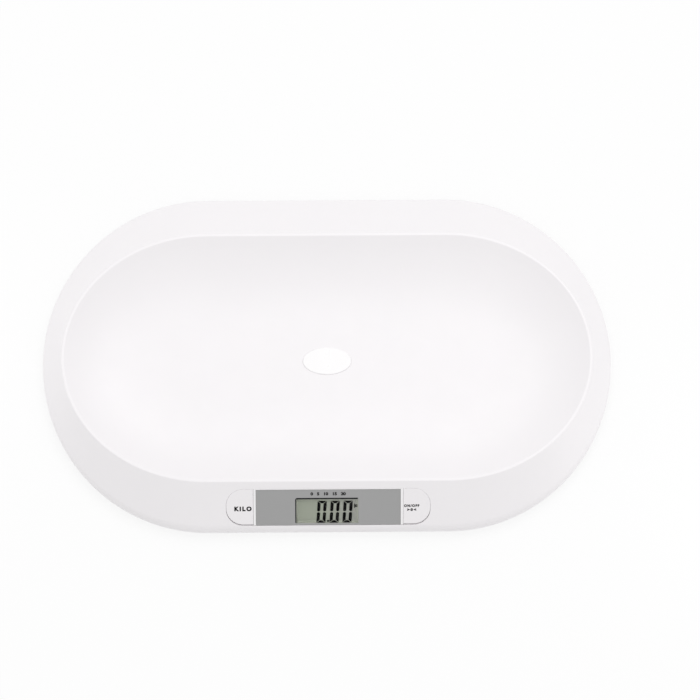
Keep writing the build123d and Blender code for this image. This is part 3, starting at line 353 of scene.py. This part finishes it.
# A material for each slot of the record. moulded() takes the colour, how far it darkens, the
# roughness, the grain's scale and depth, and the shine where it isn't the usual one.
MATERIALS = {
    "shell_white": moulded("shell_plastic", WHITE, 0.008, 0.36, 2400, 0.000006),
    "cover_white": moulded("cover_plastic", (0.84, 0.835, 0.825), 0.03, 0.5, 1500, 0.00003),
    "cap_white": moulded("cap_plastic", BRIGHT_WHITE, 0.005, 0.3, 2400, 0.000004),
    "frame_white": moulded("frame_plastic", BRIGHT_WHITE, 0.005, 0.3, 2400, 0.000004),
    "key_white": moulded("key_plastic", WHITE, 0.008, 0.38, 2600, 0.000006),
    "panel_grey": moulded("panel_film", (0.37, 0.37, 0.37), 0.015, 0.42, 3600, 0.000005),
    "window_clear": clear("window_acrylic", (0.35, 0.36, 0.35), 0.006, 0.08),
    "lcd_clear": clear("display_glass", (0.30, 0.31, 0.30), 0.004, 0.06),
    "lcd_back": display_backing(),
    "lcd_ink": moulded("display_bars", (0.003, 0.003, 0.003), 0.2, 0.5, 4000, 0.000002, 0.03),
    "holder_black": moulded("holder_nylon", (0.03, 0.03, 0.033), 0.1, 0.5, 1500, 0.00001),
    "rubber_strip": moulded("contact_rubber", (0.16, 0.16, 0.18), 0.4, 0.7, 900, 0.00004),
    "foot_rubber": moulded("foot_rubber", (0.055, 0.055, 0.058), 0.15, 0.75, 1200, 0.00005),
    "circuit_board": circuit_laminate(),
    "component_black": moulded(
        "component_resin", (0.022, 0.022, 0.024), 0.15, 0.45, 1600, 0.00001
    ),
    "cell_steel": metal("cell_steel", (0.52, 0.52, 0.53), 0.34, (1, 12, 12), 300),
    "screw_steel": metal("screw_zinc", (0.62, 0.62, 0.63), 0.28, (6, 6, 1), 500),
    "contact_steel": metal("contact_nickel", (0.68, 0.66, 0.62), 0.22, (1, 1, 8), 400),
    "battery_case": battery_sleeve(),
    "switch_black": moulded("switch_resin", (0.03, 0.03, 0.032), 0.1, 0.5, 1600, 0.00001),
    "plunger_plastic": moulded("plunger_plastic", (0.62, 0.60, 0.54), 0.04, 0.45, 1600, 0.00001),
    "wire_red": moulded("wire_red", (0.42, 0.015, 0.015), 0.12, 0.4, 900, 0.00001),
    "wire_black": moulded("wire_black", (0.015, 0.015, 0.017), 0.15, 0.4, 900, 0.00001),
    "wire_white": moulded("wire_sheath", (0.66, 0.66, 0.64), 0.05, 0.42, 900, 0.00001),
}
INK = moulded("printed_ink", (0.006, 0.006, 0.006), 0.2, 0.6, 3000, 0.000003, 0.1)
# Dark colour of the painted shadow strip along the display window's edges.
PAINTED_SHADOW_DARK = moulded("painted_window_shadow", (0.022, 0.022, 0.023), 0.15, 0.5, 3000, 0.000003, 0.1)


def dress_nodes():
    """Gives every CAD node the material of its slot."""
    slots = {row["node"]: row["material_slot"] for row in frame["record"]["subparts"]}
    for name, node in frame["nodes"].items():
        node.data.materials.clear()
        node.data.materials.append(MATERIALS[slots[name]])


# --------------------------------------------------------------- printed marks and a painted shadow
def add_object(name, data):
    """An object in the scene."""
    thing = bpy.data.objects.new(name, data)
    bpy.context.scene.collection.objects.link(thing)
    return thing


def add_piece(name, mesh, material, body):
    """A finished mesh as a dark piece that rides a body."""
    mesh.materials.append(material)
    piece = add_object(name, mesh)
    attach(piece, body)


def characters(words, weight, spacing):
    """A mesh of the words in the font's own units, as deep each way from its middle."""
    curve = bpy.data.curves.new("words", "FONT")
    curve.body = words
    curve.offset = weight
    curve.space_character = spacing
    curve.extrude = CHARACTER_HALF_DEPTH
    source = add_object("words", curve)
    graph = bpy.context.evaluated_depsgraph_get()
    mesh = bpy.data.meshes.new_from_object(source.evaluated_get(graph))
    bpy.data.objects.remove(source)
    return mesh


def printed_mark(name, words, width, height, place, body, weight, spacing):
    """Flat printed characters as one closed mesh on a body."""
    mesh = characters(words, weight, spacing)
    xs = [vertex.co.x for vertex in mesh.vertices]
    ys = [vertex.co.y for vertex in mesh.vertices]
    middle = Vector((max(xs) + min(xs), max(ys) + min(ys), 0)) / 2
    across = width / (max(xs) - min(xs))
    up = height / (max(ys) - min(ys))
    turn = on_display(*place)
    for vertex in mesh.vertices:
        flat = vertex.co - middle
        out = (flat.z + CHARACTER_HALF_DEPTH) * PRINT_THICKNESS
        vertex.co = turn @ (Vector((flat.x * across, flat.y * up, out)) * MM)
    build = bmesh.new()
    build.from_mesh(mesh)
    bmesh.ops.remove_doubles(build, verts=build.verts, dist=PRINT_WELD * MM)
    bmesh.ops.recalc_face_normals(build, faces=build.faces)
    for face in build.faces:
        face.smooth = False
    build.to_mesh(mesh)
    build.free()
    add_piece(name, mesh, INK, body)


def shadow_outline():
    """The outer and the inner edge of the window's painted shadow strip, up its left side and along its top."""
    outer_x, inner_x = SHADOW_LEFT
    inner_y, outer_y = SHADOW_TOP
    inner_reach_x = SHADOW_RADIUS - (inner_x - outer_x)
    inner_reach_y = SHADOW_RADIUS - (outer_y - inner_y)
    outer = [(outer_x, SHADOW_LOW_END)]
    inner = [(inner_x, SHADOW_LOW_END)]
    for step in range(SHADOW_ARC_STEPS + 1):
        angle = math.pi - math.pi / 2 * step / SHADOW_ARC_STEPS
        right, down = 1 + math.cos(angle), 1 - math.sin(angle)
        outer.append((outer_x + SHADOW_RADIUS * right, outer_y - SHADOW_RADIUS * down))
        inner.append((inner_x + inner_reach_x * right, inner_y - inner_reach_y * down))
    outer.append((SHADOW_RIGHT_END, outer_y))
    inner.append((SHADOW_RIGHT_END, inner_y))
    return outer, inner


def painted_window_shadow():
    """A painted shadow along the top and the left of the display window, one bent dark strip."""
    outer, inner = shadow_outline()
    outline = outer + inner[::-1]
    count = len(outline)
    build = bmesh.new()
    low, high = [
        [build.verts.new(on_display(x, y, PANEL_TOP + out).translation) for x, y in outline]
        for out in (0, SHADOW_THICKNESS)
    ]
    for i in range(count):
        j = (i + 1) % count
        build.faces.new((low[i], low[j], high[j], high[i]))
    for i in range(len(outer) - 1):
        j = count - 1 - i
        for ring in (low, high):
            build.faces.new((ring[i], ring[i + 1], ring[j - 1], ring[j]))
    bmesh.ops.recalc_face_normals(build, faces=build.faces)
    mesh = bpy.data.meshes.new("painted_window_shadow")
    build.to_mesh(mesh)
    build.free()
    add_piece("painted_window_shadow", mesh, PAINTED_SHADOW_DARK, "scale_body")


# ----------------------------------------------------- floor, light and camera
def make_floor():
    """A wide pale floor just under the feet, which the camera sees as nearly plain white."""
    material, tree, shader = new_material("floor_white")
    shader.inputs["Base Color"].default_value = (*FLOOR_COLOUR, 1)
    shader.inputs["Roughness"].default_value = FLOOR_ROUGHNESS
    glow = tree.nodes.new("ShaderNodeEmission")
    glow.inputs["Color"].default_value = PLAIN_WHITE
    glow.inputs["Strength"].default_value = 1.0
    seen = seen_by(tree, "Is Camera Ray", "Is Glossy Ray", "Is Transmission Ray")
    share = combine(tree, "MULTIPLY", seen, FLOOR_GLOW_SHARE)
    surface = mixed(tree, share, shader.outputs["BSDF"], glow.outputs["Emission"])
    tree.links.new(surface, tree.nodes["Material Output"].inputs["Surface"])
    mesh = bpy.data.meshes.new("floor")
    build = bmesh.new()
    build.faces.new([
        build.verts.new((x * FLOOR_REACH, y * FLOOR_REACH, 0))
        for x, y in ((-1, -1), (1, -1), (1, 1), (-1, 1))
    ])
    build.to_mesh(mesh)
    build.free()
    mesh.materials.append(material)
    floor = add_object("floor", mesh)
    floor.location.z = -FLOOR_DROP


def make_world():
    """Even pale surroundings that light the object and look plain white to the camera."""
    world = bpy.data.worlds.new("studio")
    bpy.context.scene.world = world
    world.use_nodes = True
    tree = world.node_tree
    light = tree.nodes["Background"]
    light.inputs["Color"].default_value = PLAIN_WHITE
    light.inputs["Strength"].default_value = WORLD_LEVEL
    white = tree.nodes.new("ShaderNodeBackground")
    white.inputs["Color"].default_value = PLAIN_WHITE
    white.inputs["Strength"].default_value = 1.0
    seen = seen_by(tree, "Is Camera Ray", "Is Transmission Ray")
    surface = mixed(tree, seen, light.outputs["Background"], white.outputs["Background"])
    tree.links.new(surface, tree.nodes["World Output"].inputs["Surface"])


def make_lamp(name, place, power, size):
    """A soft square lamp that points at the middle of the tray."""
    lamp = bpy.data.lights.new(name, "AREA")
    lamp.energy = power
    lamp.size = size
    holder = add_object(name, lamp)
    holder.location = place
    holder.rotation_mode = "QUATERNION"
    holder.rotation_quaternion = (LAMP_AIM - Vector(place)).to_track_quat("-Z", "Y")


def make_camera():
    """The camera at the photograph's viewing angle."""
    data = bpy.data.cameras.new("camera")
    data.sensor_width = SENSOR
    data.lens = SENSOR * PIXELS_PER_MM * CAMERA_DISTANCE / MM / FRAME_PIXELS
    camera = add_object("camera", data)
    level = Vector((math.sin(CAMERA_AZIMUTH), -math.cos(CAMERA_AZIMUTH), 0))
    back = level * math.cos(CAMERA_ELEVATION) + Vector((0, 0, math.sin(CAMERA_ELEVATION)))
    aimed = (-back).to_track_quat("-Z", "Y")
    camera.location = CAMERA_AIM + back * CAMERA_DISTANCE
    camera.rotation_mode = "QUATERNION"
    camera.rotation_quaternion = aimed @ Quaternion((0, 0, 1), CAMERA_ROLL)
    bpy.context.scene.camera = camera


dress_nodes()
for mark in PRINTS:
    printed_mark(*mark)
painted_window_shadow()
make_floor()
make_world()
for lamp_row in LAMPS:
    make_lamp(*lamp_row)
make_camera()
bpy.context.scene.view_settings.view_transform = "Standard"
